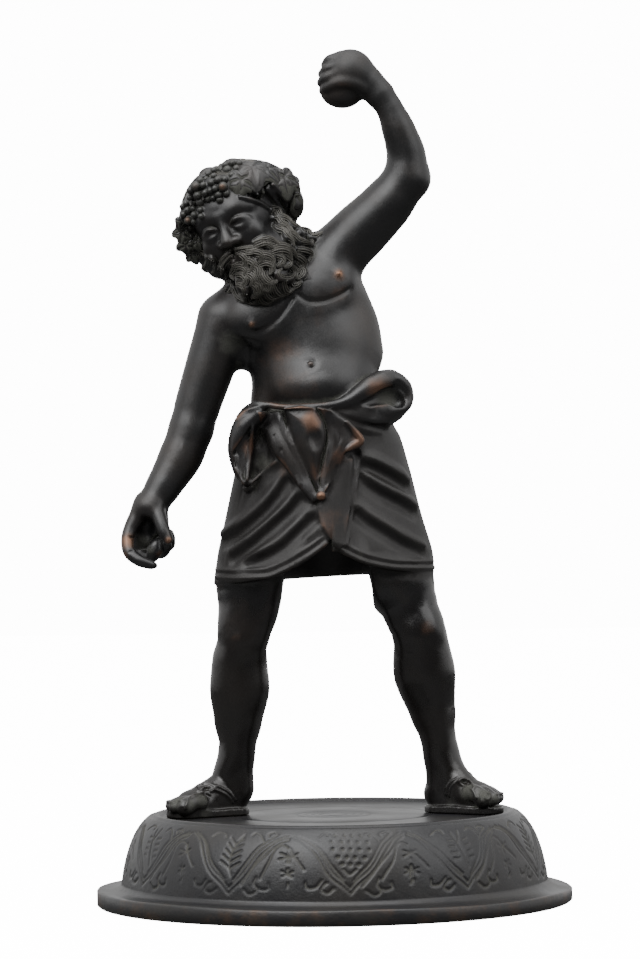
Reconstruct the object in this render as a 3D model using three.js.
// A small bronze Silenus with a raised fist, in a rolled loin cloth and sandals, on a round base.
// Millimetres, +Z up. The figure faces -Y, and +X is its left hand. The origin is the centre of
// the base's underside. The figure is modelled like clay: named volumes are pressed together with
// soft blends into one distance field, and the field's surface is meshed and thinned.
import * as THREE from "three";
import { edgeTable, triTable } from "three/addons/objects/MarchingCubes.js";

// Driving dimensions of the base.
const flangeRadius = 139;
const flangeHeight = 8.6;
const domeFootRadius = 125.4;
const domeFootHeight = 11.5;
const shoulderRadius = 118;
const rimRadius = 105;
const rimWidth = 3.2;
const floorHeight = 50.4;
const rimRise = 2.2;
const baseSides = 64;

// Driving dimensions of the figure.
const soleGap = 0.3;
const soleHeight = floorHeight + soleGap;
const soleThickness = 3.2;
const clayStep = 1.5;
const figureTriangles = 7600;
// The casting leans a little on its base: this share of the height above the floor, towards +X.
const lean = 0.014;

// Small vector helpers on plain arrays.
const plus = (a, b) => [a[0] + b[0], a[1] + b[1], a[2] + b[2]];
const minus = (a, b) => [a[0] - b[0], a[1] - b[1], a[2] - b[2]];
const times = (a, s) => [a[0] * s, a[1] * s, a[2] * s];
const dot = (a, b) => a[0] * b[0] + a[1] * b[1] + a[2] * b[2];
const cross = (a, b) => [a[1] * b[2] - a[2] * b[1], a[2] * b[0] - a[0] * b[2], a[0] * b[1] - a[1] * b[0]];
const unit = (a) => times(a, 1 / Math.hypot(...a));
const mix = (a, b, t) => plus(times(a, 1 - t), times(b, t));
const clamp = (v, low, high) => Math.min(high, Math.max(low, v));
const ease = (low, high, v) => {
  const t = clamp((v - low) / (high - low), 0, 1);
  return t * t * (3 - 2 * t);
};

// Axes: a frame of three unit vectors, side, front and up.
function frameOf(upGuess, frontGuess) {
  const up = unit(upGuess);
  const front = unit(minus(frontGuess, times(up, dot(frontGuess, up))));
  return { side: cross(up, front), front, up };
}
const upright = { side: [1, 0, 0], front: [0, -1, 0], up: [0, 0, 1] };
const tilted = (degrees) => {
  const angle = THREE.MathUtils.degToRad(degrees);
  return frameOf([-Math.sin(angle), 0, Math.cos(angle)], [0, -1, 0]);
};

// Volumes: each has a box and a distance, negative inside.
function boxAround(points, reach) {
  const low = [0, 1, 2].map((i) => Math.min(...points.map((p) => p[i])) - reach);
  const high = [0, 1, 2].map((i) => Math.max(...points.map((p) => p[i])) + reach);
  return { low, high };
}
function egg(centre, radii, axes = upright) {
  const { side, front, up } = axes;
  const reach = Math.max(...radii);
  const distance = (p) => {
    const q = minus(p, centre);
    const local = [dot(q, side) / radii[0], dot(q, front) / radii[1], dot(q, up) / radii[2]];
    const outer = Math.hypot(...local);
    const inner = Math.hypot(local[0] / radii[0], local[1] / radii[1], local[2] / radii[2]);
    return inner < 1e-9 ? -Math.min(...radii) : (outer * (outer - 1)) / inner;
  };
  return { ...boxAround([centre], reach), distance };
}
// A rope is a chain of tapering round links through stations of [x, y, z, radius].
function smoothStations(stations, links) {
  const curve = new THREE.CatmullRomCurve3(stations.map((s) => new THREE.Vector3(s[0], s[1], s[2])));
  curve.curveType = "catmullrom";
  const out = [];
  for (let i = 0; i <= links; i++) {
    const t = i / links;
    const p = curve.getPoint(t);
    const place = t * (stations.length - 1);
    const index = Math.min(stations.length - 2, Math.floor(place));
    const share = ease(0, 1, place - index) * 0.5 + (place - index) * 0.5;
    const radius = stations[index][3] * (1 - share) + stations[index + 1][3] * share;
    out.push([p.x, p.y, p.z, radius]);
  }
  return out;
}
function rope(stations, links = stations.length > 2 ? 4 * (stations.length - 1) : 1, flat = null) {
  const points = smoothStations(stations, links);
  const reach = Math.max(...points.map((p) => p[3]));
  const distance = (p) => {
    let best = 1e9;
    for (let i = 0; i < links; i++) {
      const a = points[i];
      const b = points[i + 1];
      const run = minus(b, a);
      const q = minus(p, a);
      const t = clamp(dot(q, run) / dot(run, run), 0, 1);
      let off = minus(q, times(run, t));
      if (flat) off = plus(off, times(flat.normal, dot(off, flat.normal) * (flat.squeeze - 1)));
      best = Math.min(best, Math.hypot(...off) - (a[3] + (b[3] - a[3]) * t));
    }
    return flat ? best / Math.sqrt(flat.squeeze) : best;
  };
  return { ...boxAround(points, reach), distance };
}

// Clay: a list of steps that add or cut volumes with a soft blend.
const clay = [];
function record(kind, volume, blend) {
  const low = volume.low.map((v) => v - blend - 3);
  const high = volume.high.map((v) => v + blend + 3);
  clay.push({ kind, blend, low, high, distance: volume.distance });
}
const add = (volume, blend = 3) => record(1, volume, blend);
const cut = (volume, blend = 1) => record(-1, volume, blend);
function press(kind, blend, field, d) {
  const a = kind > 0 ? field : -field;
  const h = Math.max(blend - Math.abs(a - d), 0) / blend;
  const joined = Math.min(a, d) - h * h * blend * 0.25;
  return kind > 0 ? joined : -joined;
}
function clayAt(p) {
  let field = 9;
  for (const { kind, blend, low, high, distance } of clay) {
    if (p.every((v, i) => v > low[i] && v < high[i])) field = press(kind, blend, field, distance(p));
  }
  return field;
}
// The point of the clay's surface that is first met along -Y or +Y at a given x and z.
function onFront(x, z, lift = 0) {
  for (let y = -70; y < 60; y += 0.8) {
    if (clayAt([x, y, z]) < 0) return [x, y - lift, z];
  }
  return [x, 0, z];
}
function onBack(x, z, lift = 0) {
  for (let y = 70; y > -60; y -= 0.8) {
    if (clayAt([x, y, z]) < 0) return [x, y + lift, z];
  }
  return [x, 0, z];
}
const laid = (places, radii, lift, find = onFront) =>
  places.map(([x, z], i) => [...find(x, z, lift), Array.isArray(radii) ? radii[i] : radii]);

// The torso, belly, chest and neck.
function modelTorso() {
  const slant = tilted(18);
  add(egg([-11.5, 0, 318], [39, 31, 34], tilted(8)), 1);
  add(egg([-10, -8, 310], [31, 26, 24]), 12);
  add(egg([-27, 3, 349], [36, 27, 28.5], slant), 14);
  add(rope([[-2, 4, 365, 16], [13, 5, 342, 14], [19.5, 4, 320, 12]]), 12);
  add(rope([[-60, 5, 334, 12], [-46, 5, 322, 11.5], [-40, 3, 305, 11]]), 11);
  add(egg([-45, -15, 341], [18, 12, 14.5], slant), 7);
  add(egg([-9, -13, 360], [19, 12, 14.5], tilted(24)), 7);
  add(rope([[-64, 4, 344, 13], [-46, 5, 362, 12.5], [-28, 4, 371, 13], [0, 3, 379, 13]]), 8);
  add(rope([[-32, 5, 362, 15], [-46, -6, 384, 14]]), 8);
  add(egg([-20, 22, 345], [33, 10, 31], slant), 10);
  for (const [x, z] of [[-48.5, 338.2], [2.3, 367.4]]) add(egg(onFront(x, z, -0.6), [2, 2, 2]), 1.5);
  cut(egg(onFront(-14, 314, 0.2), [1.7, 2.2, 1.7]), 1.5);
  cut(rope(laid([[-49, 333.5], [-40, 334], [-30, 342], [-25, 351]], 1.1, 0.4)), 3.5);
  cut(rope(laid([[-22, 352], [-14, 349], [-4, 351], [6, 357]], 1.1, 0.4)), 3.5);
  cut(rope(laid([[-26, 354], [-31, 366]], 1, 0.3)), 4);
  cut(rope(laid([[-6, 302], [-9, 320], [-17, 350], [-24, 368]], 1.4, -0.2, onBack)), 5);
}

// The arms, with the raised fist and the open lowered hand.
function modelArms() {
  add(rope([[3, 2, 380.5, 17.4], [14.5, 0, 391.5, 17], [30, -4, 406.5, 15.4], [42, -6, 421.5, 12.8]]), 6);
  add(rope([[43, -6, 424, 11.8], [40.5, -9, 441, 11.6], [34, -12, 457, 9.4], [26, -14, 469, 8]]), 4);
  add(egg([46, -3, 422], [8.6, 9, 8.6]), 6);
  add(rope([[-65, 2, 341, 15], [-71.5, 2, 318, 14.8], [-79.5, 2, 293, 13.6], [-83.5, 1, 278, 12.4]]), 6);
  add(rope([[-84, 1, 277, 12.6], [-89.5, -1, 262, 13], [-98.5, -5, 246, 10.8], [-107, -9, 232, 8.4]]), 4);
  cut(rope([[38, -18, 414, 1], [31, -20, 419, 1], [30, -12, 426, 1]]), 4);
  modelFist();
  modelOpenHand();
}
function modelFist() {
  const grip = tilted(52);
  add(egg([12, -14, 484], [16, 13, 14], grip), 4);
  add(egg([8, -15, 473], [11, 10, 9]), 3);
  const knuckles = [[3, -18, 496], [-2, -20, 490], [-4.6, -20, 483], [-4, -19, 476]];
  for (const [x, y, z] of knuckles) {
    add(rope([[x + 9, y - 5, z - 1, 4], [x, y - 4, z - 1, 4.2], [x - 2, y + 5, z - 1.5, 4]]), 1.4);
  }
  cut(rope([[20, -25, 472, 0.7], [8, -29, 476, 0.9], [-2, -28, 479, 0.9]]), 1.6);
}
function modelOpenHand() {
  add(egg([-112, -7, 219], [10, 6, 13], tilted(-18)), 5);
  const fingers = [
    [[-119, -8, 219, 4], [-123, -13, 208, 3.8], [-121, -20, 199, 3.4], [-112, -23, 196, 3], [-106, -22, 196, 2.6]],
    [[-115, -5, 213, 4], [-118, -8, 202, 3.8], [-113, -15, 196, 3.4], [-106, -18, 201, 3]],
    [[-110, -3, 212, 4], [-110, -4, 200, 3.8], [-104, -10, 197, 3.4], [-99, -14, 204, 3]],
    [[-105, -3, 214, 3.8], [-102, -3, 204, 3.6], [-97, -8, 201, 3.2], [-95, -12, 208, 2.8]],
  ];
  for (const finger of fingers) add(rope(finger), 1.4);
  add(rope([[-108, -11, 226, 4.6], [-100, -16, 221, 4.2], [-97.5, -21, 213, 3.6], [-98.5, -23, 207, 3]]), 2);
}

// The legs stand apart, each a rope through measured stations, with a knee and a calf.
function modelLegs() {
  const rightLeg = [
    [-33, 4, 226, 26], [-47, 0, 187, 22.2], [-52.4, -3, 168, 17.8], [-55.4, -4, 151, 15.2],
    [-54.6, 2, 128.6, 17.8], [-56.4, 3, 108, 14.6], [-57.6, 3, 91.6, 10.8], [-58.8, 3, 79, 9.6], [-59, 3, 66, 9.6],
  ];
  const leftLeg = [
    [22, 4, 226, 26], [35, 0, 193.7, 22.6], [41.6, -2, 176, 19], [51.6, -4, 154, 16.2],
    [54.6, 1, 132, 18], [58, 3, 112, 13.8], [60.6, 3, 98, 10.8], [63.4, 3, 82, 9.6], [64, 3, 66, 9.6],
  ];
  add(rope(rightLeg), 3);
  add(rope(leftLeg), 3);
  add(egg([-56, -14, 155], [8, 6, 9]), 6);
  add(egg([52.5, -14, 157], [8, 6, 9]), 6);
  add(rope([[-56, -12, 142, 4], [-57, -10, 110, 3.6]]), 7);
  add(rope([[53.5, -12, 144, 4], [59, -9, 112, 3.6]]), 7);
  for (const side of [-1, 1]) {
    add(egg([side < 0 ? -51 : 56, 3, 75], [3.4, 4, 4]), 4);
    add(egg([side < 0 ? -67.5 : 72, 3, 74], [3.2, 4, 4]), 4);
  }
}

// A sandalled foot: sole, heel, instep, five toes, two straps and a bow.
function modelFoot(heel, toes) {
  const forward = unit(minus(toes, heel));
  const across = [-forward[1], forward[0], 0];
  const length = Math.hypot(...minus(toes, heel));
  const place = (along, aside, height) =>
    plus(plus(heel, times(forward, along * length)), plus(times(across, aside), [0, 0, height]));
  const ridge = (along, aside, height, radius) => [...place(along, aside, height), radius];
  const inner = Math.sign(forward[0]);
  const solePoints = [ridge(0.13, 0, 0, 8.2), ridge(0.42, 0, 0, 8), ridge(0.74, 0.6 * inner, 0, 11)];
  const outline = rope(solePoints.map(([x, y, z, r]) => [x, y, 0, r]));
  const flatSole = {
    low: [...outline.low.slice(0, 2), soleHeight - 1],
    high: [...outline.high.slice(0, 2), soleHeight + soleThickness],
    distance: (p) => Math.max(outline.distance([p[0], p[1], 0]), p[2] - soleHeight - soleThickness),
  };
  add(flatSole, 0.4);
  const top = soleHeight + soleThickness - heel[2];
  add(rope([ridge(0.1, 0, top + 7, 8.8), ridge(0.38, 0, top + 10, 9.8), ridge(0.7, 0, top + 4, 8.6)]), 2);
  add(egg(place(0.66, 0, top + 3.6), [10.4, 10.4, 7]), 4);
  for (let toe = 0; toe < 5; toe++) {
    const aside = (toe - 2) * 4.1 * inner;
    const big = toe === 0 ? 1 : 0;
    const reach = 1 - 0.05 * toe + 0.02 * big;
    const radius = 2.8 + 0.7 * big - 0.08 * toe;
    add(rope([ridge(0.72, aside * 0.9, top + 4, radius), ridge(reach, aside * 1.1, top + 1.8, radius)]), 0.7);
  }
  const strap = (along, height, reach) =>
    rope([ridge(along + 0.02, -reach, top + 1, 1.5), ridge(along, -reach * 0.75, height - 4, 1.5),
      ridge(along - 0.02, 0, height + 1.4, 1.6), ridge(along, reach * 0.75, height - 4, 1.5),
      ridge(along + 0.02, reach, top + 1, 1.5)]);
  add(strap(0.62, top + 12.4, 10.4), 0.8);
  add(strap(0.36, top + 19, 9.4), 0.8);
  add(egg(place(0.5, 0, top + 17.6), [2.8, 2.8, 2.4]), 1);
  for (const side of [-1, 1]) add(egg(place(0.52, side * 4.4, top + 16.2), [4.4, 3.2, 2.2]), 1);
}

// The loin cloth: a lofted skirt with a wrapped hem, a rolled waist, flaps and folds.
const skirtStations = [
  [182, -6, 2, 65, 40], [205, -6, 2, 62, 39], [226, -6, 3, 57.5, 37], [250, -6.5, 3, 52, 35],
  [268, -9, 2, 50, 35], [284, -8, 1, 45, 34], [298, -7, 0, 41, 33], [310, -6, 0, 38, 31],
];
function stationAt(z) {
  const last = skirtStations.length - 1;
  if (z <= skirtStations[0][0]) return skirtStations[0];
  for (let i = 0; i < last; i++) {
    const [below, above] = [skirtStations[i], skirtStations[i + 1]];
    if (z <= above[0]) {
      const t = (z - below[0]) / (above[0] - below[0]);
      return below.map((v, k) => v * (1 - t) + above[k] * t);
    }
  }
  return skirtStations[last];
}
const hemHeight = (x, y) => {
  const left = 22 * clamp((x + 70) / 68, 0, 1) ** 3.2;
  const right = 15 * clamp((62 - x) / 60, 0, 1) ** 2.5;
  return 189.5 + 0.045 * x + (x < -1 ? left : right) * ease(12, -18, y);
};
const waistHeight = (x) => 288 + 0.16 * (x + 50) - (x < -20 ? 0.004 * (x + 20) ** 2 : 0) + ease(8, 34, x) * 8;
const skirt = {
  low: [-72, -42, 184],
  high: [60, 44, 312],
  distance: ([x, y, z]) => {
    const [, cx, cy, wide, deep] = stationAt(z);
    const around = Math.hypot((x - cx) / wide, (y - cy) / deep);
    const wall = (around - 1) * deep;
    return Math.max(wall, hemHeight(x, y) - z, z - waistHeight(x) - 3);
  },
};
function modelCloth() {
  add(skirt, 2);
  cut(egg([-3, 0, 186], [27, 33, 33]), 3);
  cut(egg([-3, -18, 196], [15, 14, 16]), 2);
  const hemFront = (from, to, count) => {
    const out = [];
    for (let i = 0; i <= count; i++) {
      const x = from + ((to - from) * i) / count;
      out.push([x, hemHeight(x, -30) + 3.2]);
    }
    return out;
  };
  add(rope(laid(hemFront(-67, -5, 7), 2.2, -1), 14), 1);
  add(rope(laid(hemFront(3, 56, 6), 2.2, -1), 12), 1);
  const folds = [
    [[-36, 258], [-52, 234], [-66, 218]],
    [[-25, 246], [-44, 226], [-63, 208]],
    [[-14, 233], [-36, 216], [-56, 200]],
    [[16, 262], [30, 254], [46, 247]],
    [[15, 250], [32, 240], [50, 229]],
    [[11, 230], [32, 220], [54, 208]],
    [[14, 240], [40, 222], [56, 212]],
  ];
  for (const fold of folds) add(rope(laid(fold, [2.2, 3.4, 2.4], -1.4)), 3.4);
  for (const fold of folds.slice(0, 6)) {
    const lower = fold.map(([x, z]) => [x, z - 6.5]);
    cut(rope(laid(lower, [1, 2, 1], 0.6)), 4);
  }
  const backFolds = [
    [[40, 270], [10, 246], [-30, 232]], [[44, 256], [16, 228], [-26, 212]],
    [[-44, 268], [-20, 256], [6, 254]], [[48, 238], [24, 210], [-8, 200]],
  ];
  for (const fold of backFolds) add(rope(laid(fold, [2.4, 3.6, 2.4], -1.6, onBack)), 4);
  modelWaist();
  modelFlaps();
}
function modelWaist() {
  const waistRing = [];
  for (let i = 0; i <= 16; i++) {
    const turn = (i / 16) * 2 * Math.PI;
    const x = -8 + 42 * Math.cos(turn);
    waistRing.push([x, 1 + 32 * Math.sin(turn), waistHeight(x) - 1, 4.2 + (Math.cos(turn) > 0.5 ? 1.6 : 0)]);
  }
  add(rope(waistRing, 40), 2.4);
  const tuck = [[10, -29, 291, 3], [24, -22, 301, 3.6], [34, -12, 309, 3.8], [42, -4, 304, 4], [42.5, -4, 294, 4.4], [33, -12, 286, 4.6], [18, -22, 284, 4]];
  add(egg([34, -4, 297], [10, 9, 8]), 2);
  add(rope(tuck), 2);
  cut(egg([32, -19, 297.5], [7.5, 9, 3.8], tilted(25)), 1.5);
  add(rope([[-8, -34, 288, 3], [12, -32, 285, 3.4], [34, -17, 281, 4], [40, 2, 281, 4]]), 2);
}
function modelFlaps() {
  const lay = (places, radii, lift, squeeze) =>
    rope(laid(places, radii, lift), 4 * (places.length - 1), { normal: [0, 1, 0], squeeze });
  add(lay([[-49, 284], [-53, 270], [-55, 258], [-52, 247]], [6, 9, 8, 4], -1, 1.6), 1.6);
  add(lay([[-38, 283], [-30, 264], [-18, 248], [-9, 240]], [6, 6.2, 5, 3], 1.6, 1.5), 1);
  add(lay([[-20, 284], [-17, 268], [-14, 254], [-10, 244]], [8.4, 11, 8, 4], 0.4, 1.5), 1.4);
  add(lay([[-2, 284], [4, 272], [10, 262]], [5, 7, 5], 0.6, 1.6), 1.4);
  cut(rope(laid([[-47, 279], [-52, 262], [-53, 250]], [0.8, 1.6, 0.8], 0.8)), 1.2);
  cut(rope(laid([[-43, 276], [-40, 264], [-38, 252]], [0.8, 3.2, 2], 1.2)), 2);
  cut(rope(laid([[-28, 283], [-22, 262], [-12, 246]], 1, 0.6)), 1);
  cut(rope(laid([[-5, 282], [-4, 266], [-7, 250]], [1, 1.6, 1.2], 0.8)), 1.4);
  add(rope(laid([[-1, 281], [8, 276], [14, 271.5], [13, 265], [11, 257], [8, 236], [6, 212]],
    [1.6, 2.2, 2.2, 2, 1.8, 1.8, 1.6], 0)), 1);
  add(rope(laid([[13, 270], [4, 262], [-1, 250], [-6, 243]], 1.5, 0)), 1);
  for (const [x, z] of [[-51.6, 242.4], [-8.2, 237.4]]) add(egg(onFront(x, z, 1), [3.1, 3.1, 3.1]), 0.8);
  cut(rope(laid([[4, 254], [2, 236], [0, 216]], [2, 3, 1.4], 1.4)), 2.4);
}

// The head in its own frame: side to the figure's left, front along the face, up to the crown.
const headCentre = [-56.5, -12, 400];
const headSize = 1.2;
const head = frameOf([-0.5, -0.22, 0.84], [-0.14, -0.95, -0.24]);
const onHead = (side, front, up) =>
  plus(headCentre, times(plus(times(head.side, side), plus(times(head.front, front), times(head.up, up))), headSize));
const headStation = (side, front, up, radius) => [...onHead(side, front, up), radius * headSize];
const headEgg = (side, front, up, radii) => egg(onHead(side, front, up), radii.map((r) => r * headSize), head);
function modelHead() {
  add(headEgg(0, -2, 2, [20, 23, 22]), 5);
  add(headEgg(0, 7, -8, [15, 14.5, 19]), 4);
  add(rope([headStation(-9, 18, 1.5, 3.2), headStation(0, 20, 0.5, 3), headStation(9, 18, 1.5, 3.2)]), 3);
  add(rope([headStation(0, 20.5, -1, 2.2), headStation(0, 24.5, -9, 3.2)]), 2);
  for (const side of [-1, 1]) {
    add(headEgg(side * 3.4, 22, -9.4, [2.3, 2.6, 2.2]), 1);
    add(headEgg(side * 9, 17.4, -8.4, [5, 4, 4.4]), 3);
    cut(headEgg(side * 7.4, 21.6, -2.8, [4.6, 3.2, 2.6]), 1.6);
    add(headEgg(side * 7.4, 18.2, -3, [3.3, 2.6, 2.4]), 0.8);
    add(headEgg(side * 19, -1, -6, [2.4, 4, 6]), 1.5);
  }
  modelBeard();
  modelHair();
  modelWreath();
}
function modelBeard() {
  add(headEgg(1, 12, -26, [17, 12, 15]), 4);
  add(headEgg(3, 12, -37, [12.5, 9, 11]), 5);
  for (let row = 0; row < 4; row++) {
    const drop = -18 - row * 7.5;
    const count = row < 3 ? 6 : 5;
    for (let i = 0; i < count; i++) {
      const turn = (i - (count - 1) / 2) * (row < 2 ? 0.5 : 0.42);
      const reach = 20 - row * 1.4;
      const side = 2 + Math.sin(turn) * reach;
      const front = 5 + Math.cos(turn) * reach;
      const curl = (i + row) % 2 ? 2.2 : -2.2;
      add(rope([headStation(side, front, drop, 2.4), headStation(side + curl, front + 1, drop - 4, 2.6),
        headStation(side - curl * 0.6, front + 0.4, drop - 8.5, 1.8)], 4), 0.9);
    }
  }
  for (const side of [-1, 1]) {
    add(rope([headStation(side * 1.5, 23.4, -13.6, 2.2), headStation(side * 7.5, 22, -16, 2.6),
      headStation(side * 12.5, 17.5, -21, 1.8)], 5), 0.8);
    add(rope([headStation(side * 15, 8, -6, 3.4), headStation(side * 16, 10, -18, 4.4)]), 2);
  }
}
function modelHair() {
  for (let i = 0; i < 13; i++) {
    const turn = -2.2 + (i / 12) * 4.4;
    const side = 22 * Math.sin(turn);
    const back = -3 - 22.5 * Math.cos(turn);
    const sway = i % 2 ? 2.5 : -2;
    add(rope([headStation(side, back, 2, 3.6), headStation(side * 1.06 + sway, back - 1, -9, 3.8),
      headStation(side * 0.98 - sway, back, -18, 2.6)], 4), 1.4);
  }
  for (let i = 0; i < 9; i++) {
    const turn = (i / 9) * 2 * Math.PI;
    add(rope([headStation(3 * Math.sin(turn), 3 * Math.cos(turn) - 3, 23.5, 2.6),
      headStation(15 * Math.sin(turn + 0.4), 15 * Math.cos(turn + 0.4) - 3, 17.4, 3)], 2), 1.6);
  }
}
function modelWreath() {
  const ringUp = 8;
  const sideReach = 25.5;
  const frontReach = 26;
  const around = (turn, out, up) =>
    onHead((sideReach + out) * Math.sin(turn), (frontReach + out) * Math.cos(turn) - 3, ringUp + up);
  const stem = [];
  for (let i = 0; i <= 16; i++) stem.push([...around((i / 16) * 2 * Math.PI, -1.5, 0), 5.6]);
  add(rope(stem, 32), 2);
  for (let i = 0; i < 18; i++) {
    const turn = -2.2 + i * 0.135;
    const rise = [6.5, 0.5, -5.5][i % 3];
    const size = 4 + 0.3 * ((i * 7) % 3);
    add(egg(around(turn, 1.8 - Math.abs(rise - 1) * 0.35, rise + 1), [size, size, size]), 0.5);
  }
  for (let i = 0; i < 11; i++) {
    const turn = 0.16 + i * 0.25;
    const rise = [5.5, -1.5][i % 2];
    const outward = unit(minus(around(turn, 9, rise), around(turn, 0, rise)));
    const leanIn = i % 2 ? 0.1 : -0.8;
    const leaf = frameOf(plus(head.up, times(outward, leanIn)), outward);
    add(egg(around(turn, 2.6, rise), [7, 3, 8], leaf), 0.5);
    cut(rope([[...around(turn, 5.8, rise - 6), 0.6], [...around(turn, 5.4 + leanIn * 4, rise + 6), 0.6]]), 0.8);
  }
  const bunch = [[24, 3, 2], [27, 0, -3], [26, -4, 5], [28, -4, 0], [24, 1, 9], [26, -2, -8]];
  for (const [side, front, up] of bunch) add(headEgg(side, front, up, [4.4, 4.4, 4.4]), 0.6);
}

// Fill a grid with the clay's distance, one step after another, each only in its own box.
function fillGrid(low, high, step) {
  const size = low.map((v, i) => Math.ceil((high[i] - v) / step) + 1);
  const field = new Float32Array(size[0] * size[1] * size[2]).fill(9);
  for (const { kind, blend, low: from, high: to, distance } of clay) {
    const start = from.map((v, i) => clamp(Math.floor((v - low[i]) / step), 0, size[i] - 1));
    const end = to.map((v, i) => clamp(Math.ceil((v - low[i]) / step), 0, size[i] - 1));
    for (let k = start[2]; k <= end[2]; k++) {
      for (let j = start[1]; j <= end[1]; j++) {
        for (let i = start[0]; i <= end[0]; i++) {
          const at = i + size[0] * (j + size[1] * k);
          const z = low[2] + k * step;
          const p = [low[0] + i * step - lean * (z - floorHeight), low[1] + j * step, z];
          field[at] = press(kind, blend, field[at], distance(p));
        }
      }
    }
  }
  return { field, size };
}

// March through the grid's cells and return a closed indexed mesh.
function meshGrid({ field, size }, low, step) {
  const [nx, ny, nz] = size;
  const corners = [[0, 0, 0], [1, 0, 0], [1, 1, 0], [0, 1, 0], [0, 0, 1], [1, 0, 1], [1, 1, 1], [0, 1, 1]];
  const edges = [[0, 1], [1, 2], [3, 2], [0, 3], [4, 5], [5, 6], [7, 6], [4, 7], [0, 4], [1, 5], [2, 6], [3, 7]];
  const index = (i, j, k) => i + nx * (j + ny * k);
  const points = [];
  const faces = [];
  const known = new Map();
  const pointOn = (edge, i, j, k) => {
    const [a, b] = edges[edge].map((c) => corners[c]);
    const axis = a[0] !== b[0] ? 0 : a[1] !== b[1] ? 1 : 2;
    const start = index(i + a[0], j + a[1], k + a[2]);
    const key = start * 3 + axis;
    if (!known.has(key)) {
      const end = index(i + b[0], j + b[1], k + b[2]);
      const share = clamp(field[start] / (field[start] - field[end]), 0.03, 0.97);
      const cell = [i + a[0], j + a[1], k + a[2]];
      cell[axis] += share;
      known.set(key, points.length);
      points.push(cell.map((v, n) => low[n] + v * step));
    }
    return known.get(key);
  };
  for (let k = 0; k < nz - 1; k++) {
    for (let j = 0; j < ny - 1; j++) {
      for (let i = 0; i < nx - 1; i++) {
        let code = 0;
        corners.forEach((c, n) => {
          if (field[index(i + c[0], j + c[1], k + c[2])] < 0) code |= 1 << n;
        });
        if (!edgeTable[code]) continue;
        for (let t = code * 16; triTable[t] !== -1; t += 3) {
          faces.push([triTable[t], triTable[t + 1], triTable[t + 2]].map((e) => pointOn(e, i, j, k)));
        }
      }
    }
  }
  return { points, faces };
}

// Keep only the largest connected body, so no crumb floats beside the figure.
function largestBody({ points, faces }) {
  const parent = points.map((_, i) => i);
  const root = (i) => {
    while (parent[i] !== i) i = parent[i] = parent[parent[i]];
    return i;
  };
  for (const [a, b, c] of faces) {
    parent[root(a)] = root(b);
    parent[root(b)] = root(c);
  }
  const count = new Map();
  for (const face of faces) count.set(root(face[0]), (count.get(root(face[0])) ?? 0) + 1);
  const best = [...count].sort((a, b) => b[1] - a[1])[0][0];
  return { points, faces: faces.filter((face) => root(face[0]) === best) };
}

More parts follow.
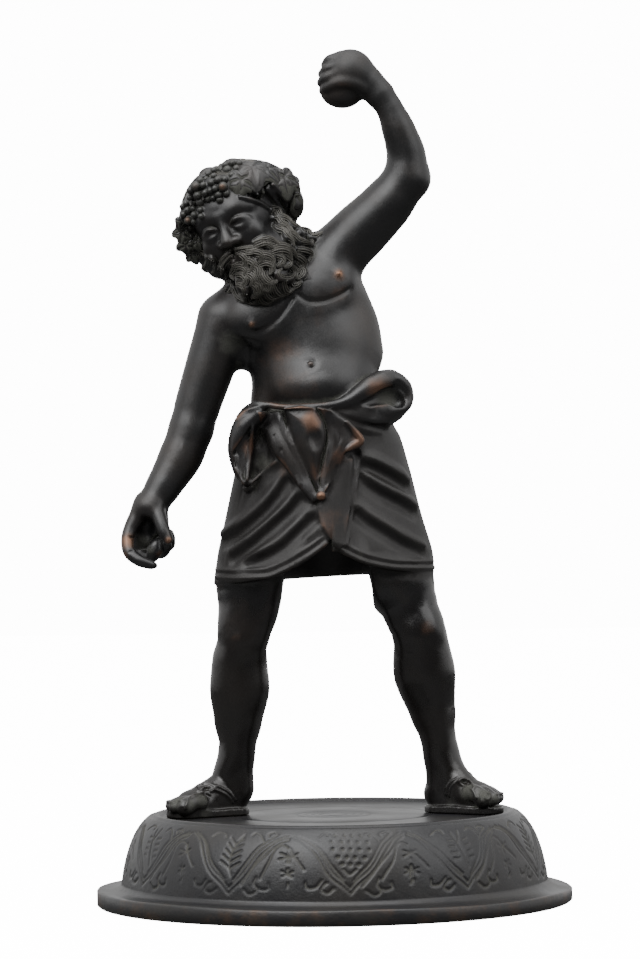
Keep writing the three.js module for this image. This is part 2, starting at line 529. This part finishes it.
// Thin a closed mesh by collapsing the edges that change the surface least.
function thin({ points, faces }, target) {
  const quadrics = points.map(() => new Float64Array(10));
  const around = points.map(() => new Set());
  const version = new Int32Array(points.length);
  const alive = new Uint8Array(faces.length).fill(1);
  const normalOf = (a, b, c) => cross(minus(b, a), minus(c, a));
  faces.forEach((face, f) => {
    const [a, b, c] = face.map((v) => points[v]);
    const normal = normalOf(a, b, c);
    const size = Math.hypot(...normal) || 1e-12;
    const n = times(normal, 1 / size);
    const d = -dot(n, a);
    const row = [n[0], n[1], n[2], d];
    for (const v of face) {
      around[v].add(f);
      let at = 0;
      for (let i = 0; i < 4; i++) for (let j = i; j < 4; j++) quadrics[v][at++] += row[i] * row[j] * size;
    }
  });
  const cost = (q, [x, y, z]) =>
    q[0] * x * x + 2 * q[1] * x * y + 2 * q[2] * x * z + 2 * q[3] * x + q[4] * y * y +
    2 * q[5] * y * z + 2 * q[6] * y + q[7] * z * z + 2 * q[8] * z + q[9];
  const bestPlace = (q, a, b) => {
    const [x0, y0, z0] = mix(a, b, 0.5);
    const m = [q[0], q[1], q[2], q[4], q[5], q[7]];
    const weight = 1e-3 * (m[0] + m[3] + m[5]) + 1e-9;
    const [m00, m01, m02, m11, m12, m22] = [m[0] + weight, m[1], m[2], m[3] + weight, m[4], m[5] + weight];
    const right = [-q[3] + weight * x0, -q[6] + weight * y0, -q[8] + weight * z0];
    const c00 = m11 * m22 - m12 * m12;
    const c01 = m02 * m12 - m01 * m22;
    const c02 = m01 * m12 - m02 * m11;
    const det = m00 * c00 + m01 * c01 + m02 * c02;
    const c11 = m00 * m22 - m02 * m02;
    const c12 = m01 * m02 - m00 * m12;
    const c22 = m00 * m11 - m01 * m01;
    return [
      (c00 * right[0] + c01 * right[1] + c02 * right[2]) / det,
      (c01 * right[0] + c11 * right[1] + c12 * right[2]) / det,
      (c02 * right[0] + c12 * right[1] + c22 * right[2]) / det,
    ];
  };
  const heap = [];
  const lift = (entry) => {
    let i = heap.push(entry) - 1;
    while (i > 0) {
      const up = (i - 1) >> 1;
      if (heap[up].cost <= heap[i].cost) break;
      [heap[up], heap[i]] = [heap[i], heap[up]];
      i = up;
    }
  };
  const take = () => {
    const first = heap[0];
    const last = heap.pop();
    if (heap.length) {
      heap[0] = last;
      let i = 0;
      for (;;) {
        let small = i;
        for (const child of [2 * i + 1, 2 * i + 2]) {
          if (child < heap.length && heap[child].cost < heap[small].cost) small = child;
        }
        if (small === i) break;
        [heap[small], heap[i]] = [heap[i], heap[small]];
        i = small;
      }
    }
    return first;
  };
  const offer = (a, b) => {
    const q = quadrics[a].map((v, i) => v + quadrics[b][i]);
    const place = bestPlace(q, points[a], points[b]);
    lift({ a, b, place, cost: cost(q, place), stamp: version[a] + version[b] });
  };
  const neighbours = (v) => {
    const out = new Set();
    for (const f of around[v]) for (const w of faces[f]) if (w !== v) out.add(w);
    return out;
  };
  const wouldFold = (v, gone, place) => {
    for (const f of around[v]) {
      const face = faces[f];
      if (face.includes(gone)) continue;
      const before = face.map((w) => points[w]);
      const after = face.map((w) => (w === v ? place : points[w]));
      const oldNormal = normalOf(...before);
      const newNormal = normalOf(...after);
      const newSize = Math.hypot(...newNormal);
      if (dot(oldNormal, newNormal) < 0.25 * Math.hypot(...oldNormal) * newSize) return true;
      const longest = Math.max(...after.map((p, i) => Math.hypot(...minus(p, after[(i + 1) % 3]))));
      if (newSize < 0.05 * longest * longest) return true;
    }
    return false;
  };
  points.forEach((_, v) => neighbours(v).forEach((w) => v < w && offer(v, w)));
  let left = faces.length;
  while (left > target && heap.length) {
    const { a, b, place, stamp } = take();
    if (stamp !== version[a] + version[b] || !around[a].size || !around[b].size) continue;
    const nearB = neighbours(b);
    const shared = [...neighbours(a)].filter((v) => nearB.has(v));
    if (!nearB.has(a) || shared.length !== 2) continue;
    if (shared.some((v) => around[v].size <= 3)) continue;
    if (wouldFold(a, b, place) || wouldFold(b, a, place)) continue;
    points[a] = place;
    quadrics[b].forEach((v, i) => (quadrics[a][i] += v));
    for (const f of around[b]) {
      if (faces[f].includes(a)) {
        alive[f] = 0;
        left--;
        for (const v of faces[f]) if (v !== b) around[v].delete(f);
      } else {
        faces[f] = faces[f].map((v) => (v === b ? a : v));
        around[a].add(f);
      }
    }
    around[b].clear();
    version[a] += 1;
    version[b] += 1e6;
    for (const v of neighbours(a)) {
      offer(a, v);
    }
  }
  return { points, faces: faces.filter((_, f) => alive[f]) };
}

function geometryFrom({ points, faces }) {
  const used = new Map();
  const places = [];
  const indices = faces.flat().map((v) => {
    if (!used.has(v)) used.set(v, places.push(...points[v]) / 3 - 1);
    return used.get(v);
  });
  const geometry = new THREE.BufferGeometry();
  geometry.setAttribute("position", new THREE.Float32BufferAttribute(places, 3));
  geometry.setIndex(indices);
  geometry.computeVertexNormals();
  return geometry;
}
function turnedOutwards(mesh) {
  const volume = mesh.faces.reduce((sum, [a, b, c]) =>
    sum + dot(mesh.points[a], cross(mesh.points[b], mesh.points[c])), 0);
  return volume > 0 ? mesh : { points: mesh.points, faces: mesh.faces.map(([a, b, c]) => [a, c, b]) };
}

function buildFigure() {
  modelTorso();
  modelHead();
  modelCloth();
  modelArms();
  modelLegs();
  modelFoot([-53, 8, soleHeight], [-99.5, -17, soleHeight]);
  modelFoot([57.5, 8, soleHeight], [99.5, -18, soleHeight]);
  const floorCut = { low: [-140, -60, 30], high: [120, 60, soleHeight], distance: (p) => p[2] - soleHeight };
  cut(floorCut, 1e-6);
  const low = [-132, -58, soleHeight - 2.2 * clayStep];
  const high = [112, 52, 506];
  const grid = fillGrid(low, high, clayStep);
  const mesh = largestBody(meshGrid(grid, low, clayStep));
  const material = new THREE.MeshStandardMaterial({ color: 0x2a2522, roughness: 0.42, metalness: 0.85 });
  const figure = new THREE.Mesh(geometryFrom(turnedOutwards(thin(mesh, figureTriangles))), material);
  figure.name = "figure";
  return figure;
}

// The base: flange, cavetto, domed band, rounded shoulder, a low rim and a sunk floor.
function buildBase() {
  const profile = [new THREE.Vector2(0, 0), new THREE.Vector2(flangeRadius, 0)];
  profile.push(new THREE.Vector2(flangeRadius, flangeHeight - 1));
  profile.push(new THREE.Vector2(flangeRadius - 1.4, flangeHeight));
  const cavetto = new THREE.QuadraticBezierCurve(
    new THREE.Vector2(flangeRadius - 3, flangeHeight),
    new THREE.Vector2(domeFootRadius + 2, flangeHeight),
    new THREE.Vector2(domeFootRadius, domeFootHeight));
  profile.push(...cavetto.getPoints(3));
  const dome = new THREE.CubicBezierCurve(
    new THREE.Vector2(domeFootRadius - 0.6, domeFootHeight + 0.6),
    new THREE.Vector2(domeFootRadius - 2.6, domeFootHeight + 17),
    new THREE.Vector2(shoulderRadius, floorHeight - 6),
    new THREE.Vector2(rimRadius + 3, floorHeight + rimRise - 1.2));
  profile.push(...dome.getPoints(6));
  profile.push(new THREE.Vector2(rimRadius, floorHeight + rimRise));
  profile.push(new THREE.Vector2(rimRadius - rimWidth, floorHeight + rimRise));
  profile.push(new THREE.Vector2(rimRadius - rimWidth - 0.6, floorHeight));
  profile.push(new THREE.Vector2(0, floorHeight));
  const geometry = new THREE.LatheGeometry(profile, baseSides);
  geometry.rotateX(Math.PI / 2);
  const material = new THREE.MeshStandardMaterial({ color: 0x26262a, roughness: 0.5, metalness: 0.8 });
  const base = new THREE.Mesh(geometry, material);
  base.name = "base";
  return base;
}

const statue = new THREE.Group();
statue.add(buildBase(), buildFigure());
export default statue;
